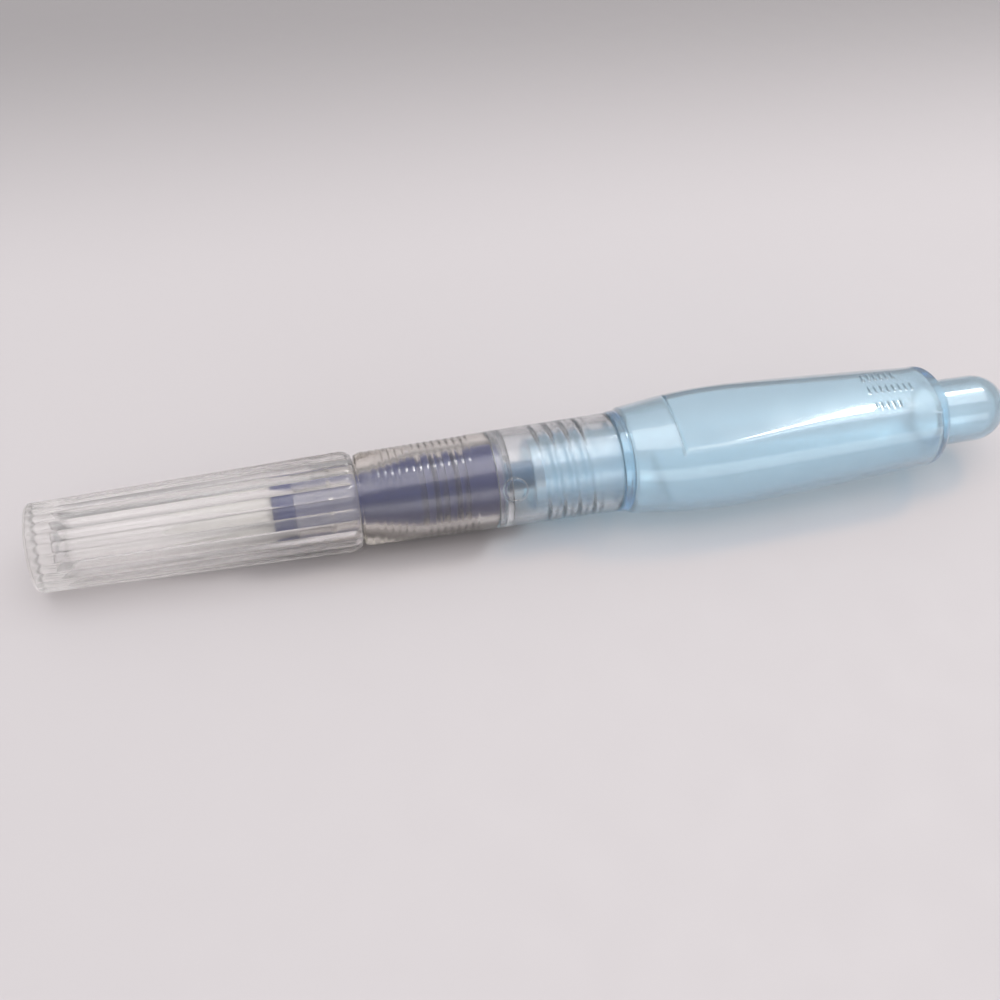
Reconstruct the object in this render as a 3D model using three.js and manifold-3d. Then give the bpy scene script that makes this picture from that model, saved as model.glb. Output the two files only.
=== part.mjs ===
// Water-filled brush pen: a fluted clear cap, a clear grip with a dark feed inside,
// a tuft of filaments, a clear threaded collar, and a squeezable blue bottle as the barrel.
//
// Millimetres. The pen lies along X, cap end towards -X, and the bottle's flats face +Z and -Z.
// Every length along the pen is a station, counted from the closed end of the cap.
// The origin is on the pen's axis, half way along it.

import * as THREE from 'three';
import { mergeVertices } from 'three/addons/utils/BufferGeometryUtils.js';
import Module from 'manifold-3d';

const wasm = await Module();
wasm.setup();

// Driving dimensions
const LENGTH = 118;
const FIT = 0.1; // radial gap between pieces that are pushed together
const FACE_GAP = 0.3; // gap between end faces that meet

const CAP_MOUTH = 35.8; // stations along the pen
const GRIP_FRONT = CAP_MOUTH + FACE_GAP; // the grip's shoulder, which the cap meets
const NOSE_FRONT = 28.7;
const JOINT = 51.6;
const NECK_FRONT = 56.1;
const COLLAR_REAR = 66.3;
const LIP = COLLAR_REAR + FACE_GAP;
const CREASE = 73; // the step where the bottle's flats begin
const BELLY = 80.5;
const SHOULDER = 106.2; // where the bottle rounds down to its tail nub

const CAP_END_RADIUS = 5.0;
const CAP_MOUTH_RADIUS = 5.87;
const CAP_FLUTES = 26;
const CAP_FLUTE_DEPTH = 0.22;
const CAP_SEAT_DEPTH = 4.3;
const CAP_HOLLOW_END = 2.4;
const CAP_HOLLOW_RADIUS = 3.6;

const NOSE_RADIUS = 3.7;
const CAP_SEAT_RADIUS = 4.55;
const GRIP_FRONT_RADIUS = 5.48;
const GRIP_REAR_RADIUS = 5.68;
const RIDGE_COUNT = 14;
const RIDGE_START = 37.7;
const RIDGE_END = 49;
const RIDGE_DEPTH = 0.22;

const FEED_FRONT = 26.2;
const TAPER_FRONT = 36.4; // the feed and its bore widen between these, slowly and then faster
const TAPER_MIDDLE = 38.8;
const TAPER_REAR = 42.6;
const TAPER_MIDDLE_RADIUS = 3.3;
const FEED_NECK_RADIUS = 2.9;
const FEED_BODY_RADIUS = 4.05;
const FEED_FLANGE_RADIUS = 4.15;
const FEED_REAR = 52.6;
const FEED_FINS = 5;
const FIN_START = 43;
const FIN_END = 49.2;
const FIN_WIDTH = 0.6; // of the groove between two fins, and its depth
const CHANNEL_RADIUS = 0.5;
const PLUG_RADIUS = 1.7;
const PLUG_FRONT = 49.9;
const PLUG_REAR = 58.4;

const TUFT_TIP = 13.6;
const TUFT_RADIUS = 1.75;
const TUFT_POCKET_END = 31.3;
const TUFT_TIP_HALF_WIDTH = 0.3;
const ROOT_FRONT = 29.6; // of the fused root that the filaments stand on
const TUFT_ROOT = ROOT_FRONT - FIT;
const LOCK_SHARE = 0.19; // a lock's radius as a share of the tuft's half-width

const COLLAR_FRONT_RADIUS = 5.72;
const COLLAR_REAR_RADIUS = 5.92;
const COLLAR_BORE = 4.9;
const WEB_THICKNESS = 0.6; // of the wall between the collar's two bores
const WEB_HOLE_RADIUS = PLUG_RADIUS + 0.3;
const NECK_RADIUS = 4.25;
const NECK_BORE = 3.3;
const THREAD_PITCH = 1.8;
const THREAD_START = 58;
const NECK_RIDGE_RADIUS = 0.5; // the neck's rounded thread ridge
const NECK_THREAD_TURNS = 3;
const COLLAR_RIDGE_RADIUS = 0.45;
const COLLAR_THREAD_TURNS = 4;

const BOTTLE_WALL = 0.9;
const LIP_HALF_WIDTH = 6.05;
const BELLY_HALF_WIDTH = 7.67;
const SHOULDER_HALF_WIDTH = 6.42;
const SHOULDER_DEPTH = 2;
const BOTTLE_HEIGHT_RATIO = 0.93; // height of the bottle's oval section over its width
const FLAT_HEIGHT = 5.9; // from the axis to each flat
const NUB_RADIUS = 4.13;

const PALE_CLEAR = { color: 0xe6e4e2, roughness: 0.18, metalness: 0, transparent: true, opacity: 0.35 };
const WARM_CLEAR = { color: 0xcfc8bd, roughness: 0.12, metalness: 0, transparent: true, opacity: 0.4 };
const NAVY = { color: 0x26294a, roughness: 0.4, metalness: 0 };
const STEEL_BLUE = { color: 0x5d7f9f, roughness: 0.45, metalness: 0 };
const BOTTLE_BLUE = { color: 0xa5cfe6, roughness: 0.2, metalness: 0, transparent: true, opacity: 0.55 };
const NYLON = { color: 0xf1efe8, roughness: 0.5, metalness: 0 };

// ---- Helpers -------------------------------------------------------------------------------

const mix = (from, to, share) => from + (to - from) * share;

// A turned piece: the profile lists [station, radius]. It runs towards +X on the outside and
// back along the inside. reshape may move a point of a ring off its circle.
function turned(profile, sides, reshape = null) {
  const points = profile.map(([station, radius]) => new THREE.Vector2(radius, station));
  const geometry = new THREE.LatheGeometry(points, sides);
  geometry.rotateZ(-Math.PI / 2);
  if (reshape) {
    const position = geometry.attributes.position;
    for (let i = 0; i < position.count; i += 1) {
      const row = i % profile.length;
      const [y, z] = reshape(position.getX(i), position.getY(i), position.getZ(i), row);
      position.setY(i, y);
      position.setZ(i, z);
    }
  }
  return geometry;
}

function closeRing(profile) {
  return [...profile, profile[0]];
}

function solidOf(geometry) {
  const bare = geometry.clone();
  bare.deleteAttribute('normal');
  bare.deleteAttribute('uv');
  const welded = mergeVertices(bare, 1e-5);
  const index = welded.index.array;
  const triVerts = [];
  for (let i = 0; i < index.length; i += 3) {
    const [a, b, c] = [index[i], index[i + 1], index[i + 2]];
    if (a !== b && b !== c && c !== a) triVerts.push(a, b, c);
  }
  return new wasm.Manifold(new wasm.Mesh({
    numProp: 3,
    vertProperties: Float32Array.from(welded.attributes.position.array),
    triVerts: Uint32Array.from(triVerts),
  }));
}

function geometryOf(solid) {
  const { vertProperties, triVerts } = solid.getMesh();
  const geometry = new THREE.BufferGeometry();
  geometry.setAttribute('position', new THREE.BufferAttribute(vertProperties, 3));
  geometry.setIndex(new THREE.BufferAttribute(triVerts, 1));
  geometry.computeVertexNormals();
  return geometry;
}

// A right-hand helix about X
class Helix extends THREE.Curve {
  constructor(start, radius, turns) {
    super();
    Object.assign(this, { start, radius, turns });
  }

  getPoint(t, target = new THREE.Vector3()) {
    const angle = 2 * Math.PI * this.turns * t;
    const station = this.start + THREAD_PITCH * this.turns * t;
    return target.set(station, this.radius * Math.cos(angle), this.radius * Math.sin(angle));
  }
}

// A rounded thread ridge, which is round so that its section may turn along the helix
function threadRidge(start, radius, turns, ridgeRadius) {
  const stepsPerTurn = 20;
  const sides = 6;
  const section = new THREE.Shape();
  for (let i = 0; i < sides; i += 1) {
    const angle = 2 * Math.PI * i / sides;
    const [x, y] = [ridgeRadius * Math.cos(angle), ridgeRadius * Math.sin(angle)];
    if (i === 0) section.moveTo(x, y);
    else section.lineTo(x, y);
  }
  return new THREE.ExtrudeGeometry(section, {
    steps: stepsPerTurn * turns,
    extrudePath: new Helix(start, radius, turns),
  });
}

// ---- Cap -----------------------------------------------------------------------------------

function capGeometry() {
  const outer = [
    [0, 0],
    [0, CAP_END_RADIUS - 0.55],
    [0.18, CAP_END_RADIUS - 0.18],
    [0.6, CAP_END_RADIUS],
    [CAP_MOUTH - 1.4, CAP_MOUTH_RADIUS],
    [CAP_MOUTH - 0.6, CAP_MOUTH_RADIUS - 0.14],
    [CAP_MOUTH, CAP_MOUTH_RADIUS - 0.6],
  ];
  const inner = [
    [CAP_MOUTH, CAP_SEAT_RADIUS + 0.3],
    [CAP_MOUTH - 0.6, CAP_SEAT_RADIUS + FIT],
    [CAP_MOUTH - CAP_SEAT_DEPTH, CAP_SEAT_RADIUS + FIT],
    [CAP_MOUTH - CAP_SEAT_DEPTH - 0.5, CAP_SEAT_RADIUS - 0.1],
    [CAP_HOLLOW_END + 2.6, CAP_HOLLOW_RADIUS],
    [CAP_HOLLOW_END + 1.2, CAP_HOLLOW_RADIUS - 0.6],
    [CAP_HOLLOW_END + 0.3, CAP_HOLLOW_RADIUS / 2],
    [CAP_HOLLOW_END, 0],
  ];
  const first = 3; // the flutes run along the tapered outside
  const last = 5;
  const sides = CAP_FLUTES * 2;
  return turned([...outer, ...inner], sides, (station, y, z, row) => {
    if (row < first || row > last) return [y, z];
    const radius = Math.hypot(y, z);
    const angle = Math.atan2(z, y);
    const side = Math.round(angle / (2 * Math.PI) * sides);
    const scale = side % 2 === 0 ? 1 : 1 - CAP_FLUTE_DEPTH / radius;
    return [y * scale, z * scale];
  });
}

// ---- Grip ----------------------------------------------------------------------------------

function gripGeometry() {
  const ridges = [];
  const pitch = (RIDGE_END - RIDGE_START) / RIDGE_COUNT;
  for (let i = 0; i < RIDGE_COUNT; i += 1) {
    const crest = mix(GRIP_FRONT_RADIUS, GRIP_REAR_RADIUS, i / RIDGE_COUNT);
    const station = RIDGE_START + pitch * i;
    ridges.push([station, crest - RIDGE_DEPTH], [station + pitch / 2, crest]);
  }
  const spigotEnd = JOINT + 0.7;
  const spigotRadius = FEED_FLANGE_RADIUS + 0.75;
  const outer = [
    [NOSE_FRONT, NOSE_RADIUS - 0.3],
    [NOSE_FRONT + 0.3, NOSE_RADIUS],
    [NOSE_FRONT + 1.4, NOSE_RADIUS],
    [NOSE_FRONT + 1.5, NOSE_RADIUS + 0.15],
    [NOSE_FRONT + 3.8, NOSE_RADIUS + 0.15],
    [NOSE_FRONT + 4.3, CAP_SEAT_RADIUS],
    [GRIP_FRONT, CAP_SEAT_RADIUS],
    [GRIP_FRONT, GRIP_FRONT_RADIUS - 0.4],
    [GRIP_FRONT + 0.3, GRIP_FRONT_RADIUS - 0.14],
    [GRIP_FRONT + 0.9, GRIP_FRONT_RADIUS],
    ...ridges,
    [RIDGE_END, GRIP_REAR_RADIUS - RIDGE_DEPTH],
    [RIDGE_END + 0.2, GRIP_REAR_RADIUS],
    [JOINT - FIT, GRIP_REAR_RADIUS + 0.02],
    [JOINT - FIT, spigotRadius],
    [spigotEnd, spigotRadius],
  ];
  const inner = [
    [spigotEnd, FEED_FLANGE_RADIUS + FIT],
    [TAPER_REAR + 0.2, FEED_FLANGE_RADIUS + FIT],
    [TAPER_MIDDLE, TAPER_MIDDLE_RADIUS + 0.15],
    [TAPER_FRONT + 0.2, FEED_NECK_RADIUS + FIT],
    [NOSE_FRONT, FEED_NECK_RADIUS + FIT],
  ];
  return turned(closeRing([...outer, ...inner]), 30);
}

// ---- Feed, its plug and the tuft -------------------------------------------------------------

function feedGeometry() {
  const fins = [];
  const pitch = (FIN_END - FIN_START) / FEED_FINS;
  for (let i = 0; i < FEED_FINS; i += 1) {
    const station = FIN_START + pitch * i;
    fins.push(
      [station, FEED_BODY_RADIUS],
      [station + 0.05, FEED_BODY_RADIUS - FIN_WIDTH],
      [station + FIN_WIDTH - 0.05, FEED_BODY_RADIUS - FIN_WIDTH],
      [station + FIN_WIDTH, FEED_BODY_RADIUS],
    );
  }
  const outer = [
    [FEED_FRONT, 2.3],
    [FEED_FRONT + 0.8, 2.62],
    [FEED_FRONT + 2.2, FEED_NECK_RADIUS],
    [TAPER_FRONT, FEED_NECK_RADIUS],
    [TAPER_MIDDLE, TAPER_MIDDLE_RADIUS],
    [TAPER_REAR, FEED_BODY_RADIUS],
    ...fins,
    [FIN_END + 0.1, FEED_FLANGE_RADIUS],
    [FEED_REAR - 0.3, FEED_FLANGE_RADIUS],
    [FEED_REAR, FEED_FLANGE_RADIUS - 0.3],
  ];
  const inner = [
    [FEED_REAR, PLUG_RADIUS + FIT],
    [PLUG_FRONT - FIT, PLUG_RADIUS + FIT],
    [PLUG_FRONT - FIT, CHANNEL_RADIUS],
    [TUFT_POCKET_END, CHANNEL_RADIUS],
    [TUFT_POCKET_END, TUFT_RADIUS + FIT],
    [FEED_FRONT, TUFT_RADIUS + FIT],
  ];
  return turned(closeRing([...outer, ...inner]), 26);
}

function plugGeometry() {
  return turned(closeRing([
    [PLUG_FRONT, PLUG_RADIUS],
    [PLUG_REAR - 0.5, PLUG_RADIUS],
    [PLUG_REAR, PLUG_RADIUS - 0.4],
    [PLUG_REAR, CHANNEL_RADIUS],
    [PLUG_FRONT, CHANNEL_RADIUS],
  ]), 18);
}

function tuftRootGeometry() {
  const rear = TUFT_POCKET_END - FIT;
  const radius = TUFT_RADIUS - FIT / 2;
  return turned([[ROOT_FRONT, 0], [ROOT_FRONT, radius], [rear, radius], [rear, 0]], 18);
}

// Half the tuft's width: it swells a little past the feed and closes to a point
function tuftHalfWidth(station) {
  const share = THREE.MathUtils.clamp((FEED_FRONT - station) / (FEED_FRONT - TUFT_TIP), 0, 1);
  const swell = 1 + 0.12 * Math.sin(Math.PI * Math.min(share / 0.5, 1));
  const taper = Math.cos(share * Math.PI / 2) ** 0.6;
  return Math.max(TUFT_RADIUS * swell * taper, TUFT_TIP_HALF_WIDTH);
}

// One lock of filaments, which tapers over its last third. across and up place it in the
// tuft's round section, as shares of the tuft's half-width.
function tuftLockGeometry(across, up, length) {
  const rings = [1, 0.92, 0.8, 0.64, 0.48, 0.32, 0.16, 0].map((share) => {
    const station = TUFT_ROOT - share * length;
    const taper = 1 - 0.6 * THREE.MathUtils.smoothstep(share, 0.66, 1);
    return [station, LOCK_SHARE * taper * tuftHalfWidth(station)];
  });
  const profile = [[rings[0][0], 0], ...rings, [TUFT_ROOT, 0]];
  return turned(profile, 6, (station, y, z) => {
    const width = tuftHalfWidth(station);
    return [y + across * width, z + up * width];
  });
}

// The locks lie in a centre, an inner ring and an outer ring, close packed
function tuftLocks() {
  const fullLength = TUFT_ROOT - TUFT_TIP;
  const rings = [
    { count: 1, place: 0, length: fullLength },
    { count: 6, place: 0.41, length: fullLength - 0.5 },
    { count: 12, place: 0.81, length: fullLength - 1.2 },
  ];
  return rings.flatMap(({ count, place, length }) => Array.from({ length: count }, (_, i) => {
    const angle = 2 * Math.PI * i / count;
    return tuftLockGeometry(place * Math.cos(angle), place * Math.sin(angle), length);
  }));
}

// ---- Collar --------------------------------------------------------------------------------

function collarGeometry() {
  const web = FEED_REAR + FACE_GAP;
  const socketRadius = FEED_FLANGE_RADIUS + 0.85; // it takes the grip's spigot
  const tube = turned(closeRing([
    [JOINT, socketRadius],
    [JOINT, COLLAR_FRONT_RADIUS],
    [COLLAR_REAR - 0.2, COLLAR_REAR_RADIUS],
    [COLLAR_REAR, COLLAR_REAR_RADIUS - 0.2],
    [COLLAR_REAR, COLLAR_BORE + 0.25],
    [COLLAR_REAR - 0.4, COLLAR_BORE],
    [web + WEB_THICKNESS, COLLAR_BORE],
    [web + WEB_THICKNESS, WEB_HOLE_RADIUS],
    [web, WEB_HOLE_RADIUS],
    [web, socketRadius],
  ]), 36);
  const start = THREAD_START - THREAD_PITCH / 2;
  const ridge = threadRidge(start, COLLAR_BORE + 0.05, COLLAR_THREAD_TURNS, COLLAR_RIDGE_RADIUS);
  return geometryOf(solidOf(tube).add(solidOf(ridge)));
}

// ---- Bottle --------------------------------------------------------------------------------

// The bottle's half-width grows from the lip to the belly and then falls away to the shoulder
function bottleHalfWidth(station) {
  if (station < BELLY) {
    const share = (BELLY - station) / (BELLY - LIP);
    return mix(BELLY_HALF_WIDTH, LIP_HALF_WIDTH, share ** 2.2);
  }
  const share = (station - BELLY) / (SHOULDER - BELLY);
  return mix(BELLY_HALF_WIDTH, SHOULDER_HALF_WIDTH, share ** 1.35);
}

// The section is round at the lip and at the nub, and a low oval between them
function bottleHeightRatio(station) {
  const front = THREE.MathUtils.smoothstep(station, LIP, CREASE - 1);
  const back = 1 - THREE.MathUtils.smoothstep(station, SHOULDER - 1, SHOULDER + SHOULDER_DEPTH);
  return 1 - (1 - BOTTLE_HEIGHT_RATIO) * front * back;
}

// Stations from one end to the other, with closer steps near the start
function spaced(from, to, count) {
  return Array.from({ length: count }, (_, i) => mix(from, to, (i / (count - 1)) ** 1.2));
}

// A quarter turn: shares of its depth along the pen and of its drop towards the axis
function quarterTurn(steps) {
  return Array.from({ length: steps }, (_, i) => {
    const angle = i / (steps - 1) * Math.PI / 2;
    return [Math.sin(angle), Math.cos(angle)];
  });
}

// The bottle behind its lip, as seen from above
function bottleOutline() {
  const body = [
    ...spaced(LIP + 0.4, CREASE - 1.4, 4),
    ...spaced(CREASE, CREASE + 0.5, 2),
    ...spaced(CREASE + 2.5, SHOULDER - 1.2, 8),
  ].map((station) => [station, bottleHalfWidth(station)]);
  const shoulder = quarterTurn(4).map(([along, drop]) => [
    SHOULDER + SHOULDER_DEPTH * along,
    mix(NUB_RADIUS, SHOULDER_HALF_WIDTH, drop),
  ]);
  const nub = quarterTurn(5).slice(0, -1).map(([along, drop]) => [
    LENGTH + NUB_RADIUS * (along - 1),
    NUB_RADIUS * drop,
  ]);
  return [...body, ...shoulder, ...nub];
}

function bottleGeometry() {
  const outline = bottleOutline();
  const outer = [
    [NECK_FRONT, NECK_RADIUS - 0.2],
    [NECK_FRONT + 0.2, NECK_RADIUS],
    [LIP, NECK_RADIUS],
    [LIP, LIP_HALF_WIDTH - 0.35],
    ...outline,
    [LENGTH, 0],
  ];
  const hollow = outline.filter(([station]) => station > LIP + 1).map(([station, radius]) => {
    const endWall = station < SHOULDER ? 0 : BOTTLE_WALL;
    return [station - endWall, radius - BOTTLE_WALL];
  });
  const inner = [
    [LENGTH - BOTTLE_WALL, 0],
    ...hollow.reverse(),
    [LIP + 0.9, NECK_BORE],
    [NECK_FRONT, NECK_BORE],
  ];
  const shell = turned([...inner, ...outer], 40, (station, y, z, row) => {
    const wall = row < inner.length ? BOTTLE_WALL : 0;
    const height = FLAT_HEIGHT - wall;
    const oval = z * bottleHeightRatio(station);
    const behindCrease = station > CREASE + 0.1;
    return [y, behindCrease ? THREE.MathUtils.clamp(oval, -height, height) : oval];
  });
  const ridge = threadRidge(THREAD_START, NECK_RADIUS, NECK_THREAD_TURNS, NECK_RIDGE_RADIUS);
  return geometryOf(solidOf(shell).add(solidOf(ridge)));
}

// ---- Assembly ------------------------------------------------------------------------------

const pen = new THREE.Group();
pen.position.x = -LENGTH / 2;

function addPiece(name, geometry, look) {
  const piece = new THREE.Mesh(geometry, new THREE.MeshStandardMaterial(look));
  piece.name = name;
  pen.add(piece);
}

addPiece('cap', capGeometry(), PALE_CLEAR);
addPiece('grip_section', gripGeometry(), WARM_CLEAR);
addPiece('threaded_collar', collarGeometry(), PALE_CLEAR);
addPiece('feed_core', feedGeometry(), NAVY);
addPiece('flow_plug', plugGeometry(), STEEL_BLUE);
addPiece('tuft_root', tuftRootGeometry(), NYLON);
tuftLocks().forEach((geometry, i) => {
  addPiece(`tuft_lock_${String(i + 1).padStart(2, '0')}`, geometry, NYLON);
});
addPiece('barrel', bottleGeometry(), BOTTLE_BLUE);

const brushPen = new THREE.Group();
brushPen.add(pen);

export default brushPen;
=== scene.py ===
"""Looks for the water brush pen: clear fluted cap, ringed clear grip over a dark feed, a tuft of
fine filaments, a clear threaded collar and a soft blue squeeze bottle.

Lengths along the pen are stations in millimetres, counted from the closed end of the cap, as in
the CAD model. Everything is turned about the pen's axis, which is the X axis.
"""

import math
import random

import bmesh
import bpy
import numpy as np
from mathutils import Matrix, Vector


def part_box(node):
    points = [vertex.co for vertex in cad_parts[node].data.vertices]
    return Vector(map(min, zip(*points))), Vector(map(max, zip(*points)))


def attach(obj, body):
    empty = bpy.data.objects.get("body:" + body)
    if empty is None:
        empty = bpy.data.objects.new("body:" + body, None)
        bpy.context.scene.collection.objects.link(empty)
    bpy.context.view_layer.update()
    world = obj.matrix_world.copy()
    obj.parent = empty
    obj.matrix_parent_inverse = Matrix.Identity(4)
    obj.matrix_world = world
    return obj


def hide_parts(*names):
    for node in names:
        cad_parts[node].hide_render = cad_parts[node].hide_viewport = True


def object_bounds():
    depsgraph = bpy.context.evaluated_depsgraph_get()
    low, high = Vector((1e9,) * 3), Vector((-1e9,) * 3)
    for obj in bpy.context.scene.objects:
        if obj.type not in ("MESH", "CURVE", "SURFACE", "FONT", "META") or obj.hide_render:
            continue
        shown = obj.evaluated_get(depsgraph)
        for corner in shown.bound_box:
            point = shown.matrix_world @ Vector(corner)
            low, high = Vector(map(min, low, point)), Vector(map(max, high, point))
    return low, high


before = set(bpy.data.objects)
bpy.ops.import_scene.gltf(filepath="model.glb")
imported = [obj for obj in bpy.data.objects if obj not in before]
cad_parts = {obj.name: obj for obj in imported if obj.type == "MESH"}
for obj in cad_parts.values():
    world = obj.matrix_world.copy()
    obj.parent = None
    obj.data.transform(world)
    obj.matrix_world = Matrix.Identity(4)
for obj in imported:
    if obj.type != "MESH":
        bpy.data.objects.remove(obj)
cad_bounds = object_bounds()

MM = 0.001
CAP_END_X = cad_bounds[0].x


def station_of(node, end):
    """The station of a CAD node's front (0) or rear (1) end."""
    return (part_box(node)[end].x - CAP_END_X) / MM


CAP_MOUTH = station_of("cap", 1)
NOSE_FRONT = station_of("grip_section", 0)
JOINT = station_of("threaded_collar", 0)
COLLAR_REAR = station_of("threaded_collar", 1)
FEED_FRONT = station_of("feed_core", 0)
FEED_REAR = station_of("feed_core", 1)
PLUG_FRONT = station_of("flow_plug", 0)
PLUG_REAR = station_of("flow_plug", 1)
NECK_FRONT = station_of("barrel", 0)
TAIL_TIP = station_of("barrel", 1)
ROOT_FRONT = station_of("tuft_root", 0)
ROOT_REAR = station_of("tuft_root", 1)
TUFT_TIP = station_of("tuft_lock_01", 0)

LOCK_NODES = sorted(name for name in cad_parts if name.startswith("tuft_lock_"))

# Millimetres and stations, as in the CAD model
FIT = 0.1  # gap between pieces that are pushed together
FACE_GAP = 0.3  # gap between the cap's mouth and the grip's shoulder

CAP_END_RADIUS = 5.0
CAP_MOUTH_RADIUS = 5.87
CAP_FLUTES = 26
CAP_FLUTE_DEPTH = 0.26
CAP_FLUTE_POWER = 0.6  # under 1 makes sharp valleys between round ribs
CAP_ROWS_APART = 1.2
CAP_SEAT_RADIUS = 4.55
CAP_SEAT_DEPTH = 4.3
CAP_HOLLOW_END = 2.4
CAP_HOLLOW_RADIUS = 3.6

NOSE_RADIUS = 3.7
NOSE_STEP = 0.15
GRIP_FRONT = CAP_MOUTH + FACE_GAP
GRIP_FRONT_RADIUS = 5.48
GRIP_REAR_RADIUS = 5.68
RINGS = 14
RING_START = 37.7
RING_END = 49.0
RING_DEPTH = 0.12

TAPER_FRONT = 36.4  # the feed widens between these, slowly and then faster
TAPER_MIDDLE = 38.8
TAPER_REAR = 42.6
TAPER_MIDDLE_RADIUS = 3.3
FEED_TIP_RADIUS = 2.3
FEED_SHOULDER_RADIUS = 2.62
FEED_NECK_RADIUS = 2.9
FEED_BODY_RADIUS = 4.05
FEED_FLANGE_RADIUS = 4.15
FEED_FINS = 5
FIN_START = 43.0
FIN_END = 49.2
FIN_GROOVE = 0.6  # width and depth of the groove between two fins
CHANNEL_RADIUS = 0.5
PLUG_RADIUS = 1.7
SPIGOT_RADIUS = FEED_FLANGE_RADIUS + 0.75  # of the grip, inside the collar
SPIGOT_LENGTH = 0.7

TUFT_RADIUS = 1.75
FILAMENTS_PER_LOCK = 22
LOCK_RADIUS = 0.2  # as a share of the tuft's half-width
LOCK_RINGS = ((1, 0.0), (6, 0.41), (12, 0.79))  # locks in each ring, and the ring's radius share
FILAMENT_RADII = (0.055, 0.075)
FILAMENT_ROWS = 14
FILAMENT_SIDES = 5

COLLAR_FRONT_RADIUS = 5.72
COLLAR_REAR_RADIUS = 5.92
COLLAR_BORE = 4.9
COLLAR_SOCKET_RADIUS = FEED_FLANGE_RADIUS + 0.85
WEB_THICKNESS = 0.6
WEB_HOLE_RADIUS = PLUG_RADIUS + 0.3
NECK_RADIUS = 4.25
NECK_BORE = 3.3
THREAD_PITCH = 1.8
THREAD_START = 58.0
NECK_THREAD_TURNS = 3
NECK_RIDGE = (0.8, 0.4)  # half-width and height
COLLAR_THREAD_TURNS = 4
COLLAR_RIDGE = (0.85, 0.22)
MOULD_RING = (53.4, 144.8)  # station and angle of the small ring on the collar
MOULD_RING_RADIUS = 1.3
MOULD_RING_RELIEF = 0.13

LIP = COLLAR_REAR + FIT  # 0.2 nearer the collar than in CAD, which hides the gap
LIP_GROOVE = 67.6
CREASE = 73.0
CREASE_DEPTH = 0.3
CREASE_LEDGE = 3.0  # lifts the crown clear of the round part in front of the crease
BELLY = 80.5
BELLY_HALF_WIDTH = 7.67
LIP_HALF_WIDTH = 6.05
SHOULDER = 106.2
SHOULDER_HALF_WIDTH = 6.42
SHOULDER_DEPTH = 2.0
BOTTLE_WALL = 0.9
BOTTLE_HEIGHT_RATIO = 0.925
CROWN_STATION = 88.0
CROWN_FRONT_RADIUS = 42.0
CROWN_REAR_RADIUS = 12.0
CROWN_HEIGHT = 6.17
CROWN_FALL = 0.0022
NUB_RADIUS = 4.13
MARK_ROWS = ((-2.3, 5), (0.2, 8), (2.4, 6))  # across the upper flat, and the ticks in each row
MARK_START = 98.4
MARK_PITCH = 0.8
MARK_HALF_SIZE = (0.22, 0.6)
MARK_HEIGHT = 0.2

# Metres
FLOOR_REACH = 1.5
FLOOR_PAINTED_SHADE_SPAN = (0.045, 0.125)  # how far behind the pen the painted shade darkens the floor's colour
# painted shade: the floor's colour at the far side, as a share of its colour near the pen
FLOOR_PAINTED_FAR_SHADE = 0.56
CAMERA_DISTANCE = 0.14103
CAMERA_ELEVATION = 52.0  # degrees, as the next two
CAMERA_RECEDE = 10.1
CAMERA_ROLL = 8.72
CAMERA_LENS_RATIO = 1.2  # focal length over sensor width
JOINT_OFF_CENTRE = (-0.001175, 0.00235)  # the joint line's place in the view, right and up

# name, bearing, turn, size, radiance, colour
PANELS = (
    ("ceiling_panel", (38, 0), 0, (1.6, 0.9), 0.12, (1.0, 0.985, 0.985)),
    ("front_panel", (-76, 0), 0, (1.6, 0.42), 1.15, (1.0, 0.985, 0.985)),
    ("overhead_panel", (0, 0), 0, (1.6, 0.8), 1.65, (1.0, 0.985, 0.985)),
    ("strip_lamp", (20.5, 29), 28, (0.27, 0.19), 16, (1.0, 1.0, 0.98)),
)

# ---- Meshes --------------------------------------------------------------------------------


def rounded(corners, steps=5):
    """An outline of (station, radius, fillet) corners, with each corner turned into a short curve."""
    points = [Vector((c[0], c[1])) for c in corners]
    outline = []
    for i, corner in enumerate(points):
        fillet = corners[i][2]
        if fillet == 0 or i in (0, len(points) - 1):
            outline.append(tuple(corner))
            continue
        before = (points[i - 1] - corner)
        after = (points[i + 1] - corner)
        reach = min(fillet, before.length * 0.48, after.length * 0.48)
        start = corner + before.normalized() * reach
        end = corner + after.normalized() * reach
        for step in range(steps + 1):
            t = step / steps
            outline.append(tuple(start * (1 - t) ** 2 + corner * 2 * t * (1 - t) + end * t ** 2))
    return outline


def refined(outline, longest):
    """The same outline with extra rows, so that no step along it is over the longest."""
    rows = [outline[0]]
    for (s0, r0), (s1, r1) in zip(outline, outline[1:]):
        parts = max(1, math.ceil(math.hypot(s1 - s0, r1 - r0) / longest))
        rows += [(s0 + (s1 - s0) * k / parts, r0 + (r1 - r0) * k / parts) for k in range(1, parts + 1)]
    return rows


def finish_mesh(name, bm, crease_degrees=38):
    """Makes the object, with smooth faces and crisp edges where the surface really turns."""
    bmesh.ops.remove_doubles(bm, verts=bm.verts, dist=1e-8)
    bmesh.ops.recalc_face_normals(bm, faces=bm.faces)
    limit = math.radians(crease_degrees)
    for face in bm.faces:
        face.smooth = True
    for edge in bm.edges:
        if len(edge.link_faces) == 2 and edge.calc_face_angle(0) > limit:
            edge.smooth = False
    mesh = bpy.data.meshes.new(name)
    bm.to_mesh(mesh)
    bm.free()
    piece = bpy.data.objects.new(name, mesh)
    bpy.context.scene.collection.objects.link(piece)
    return piece


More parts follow.
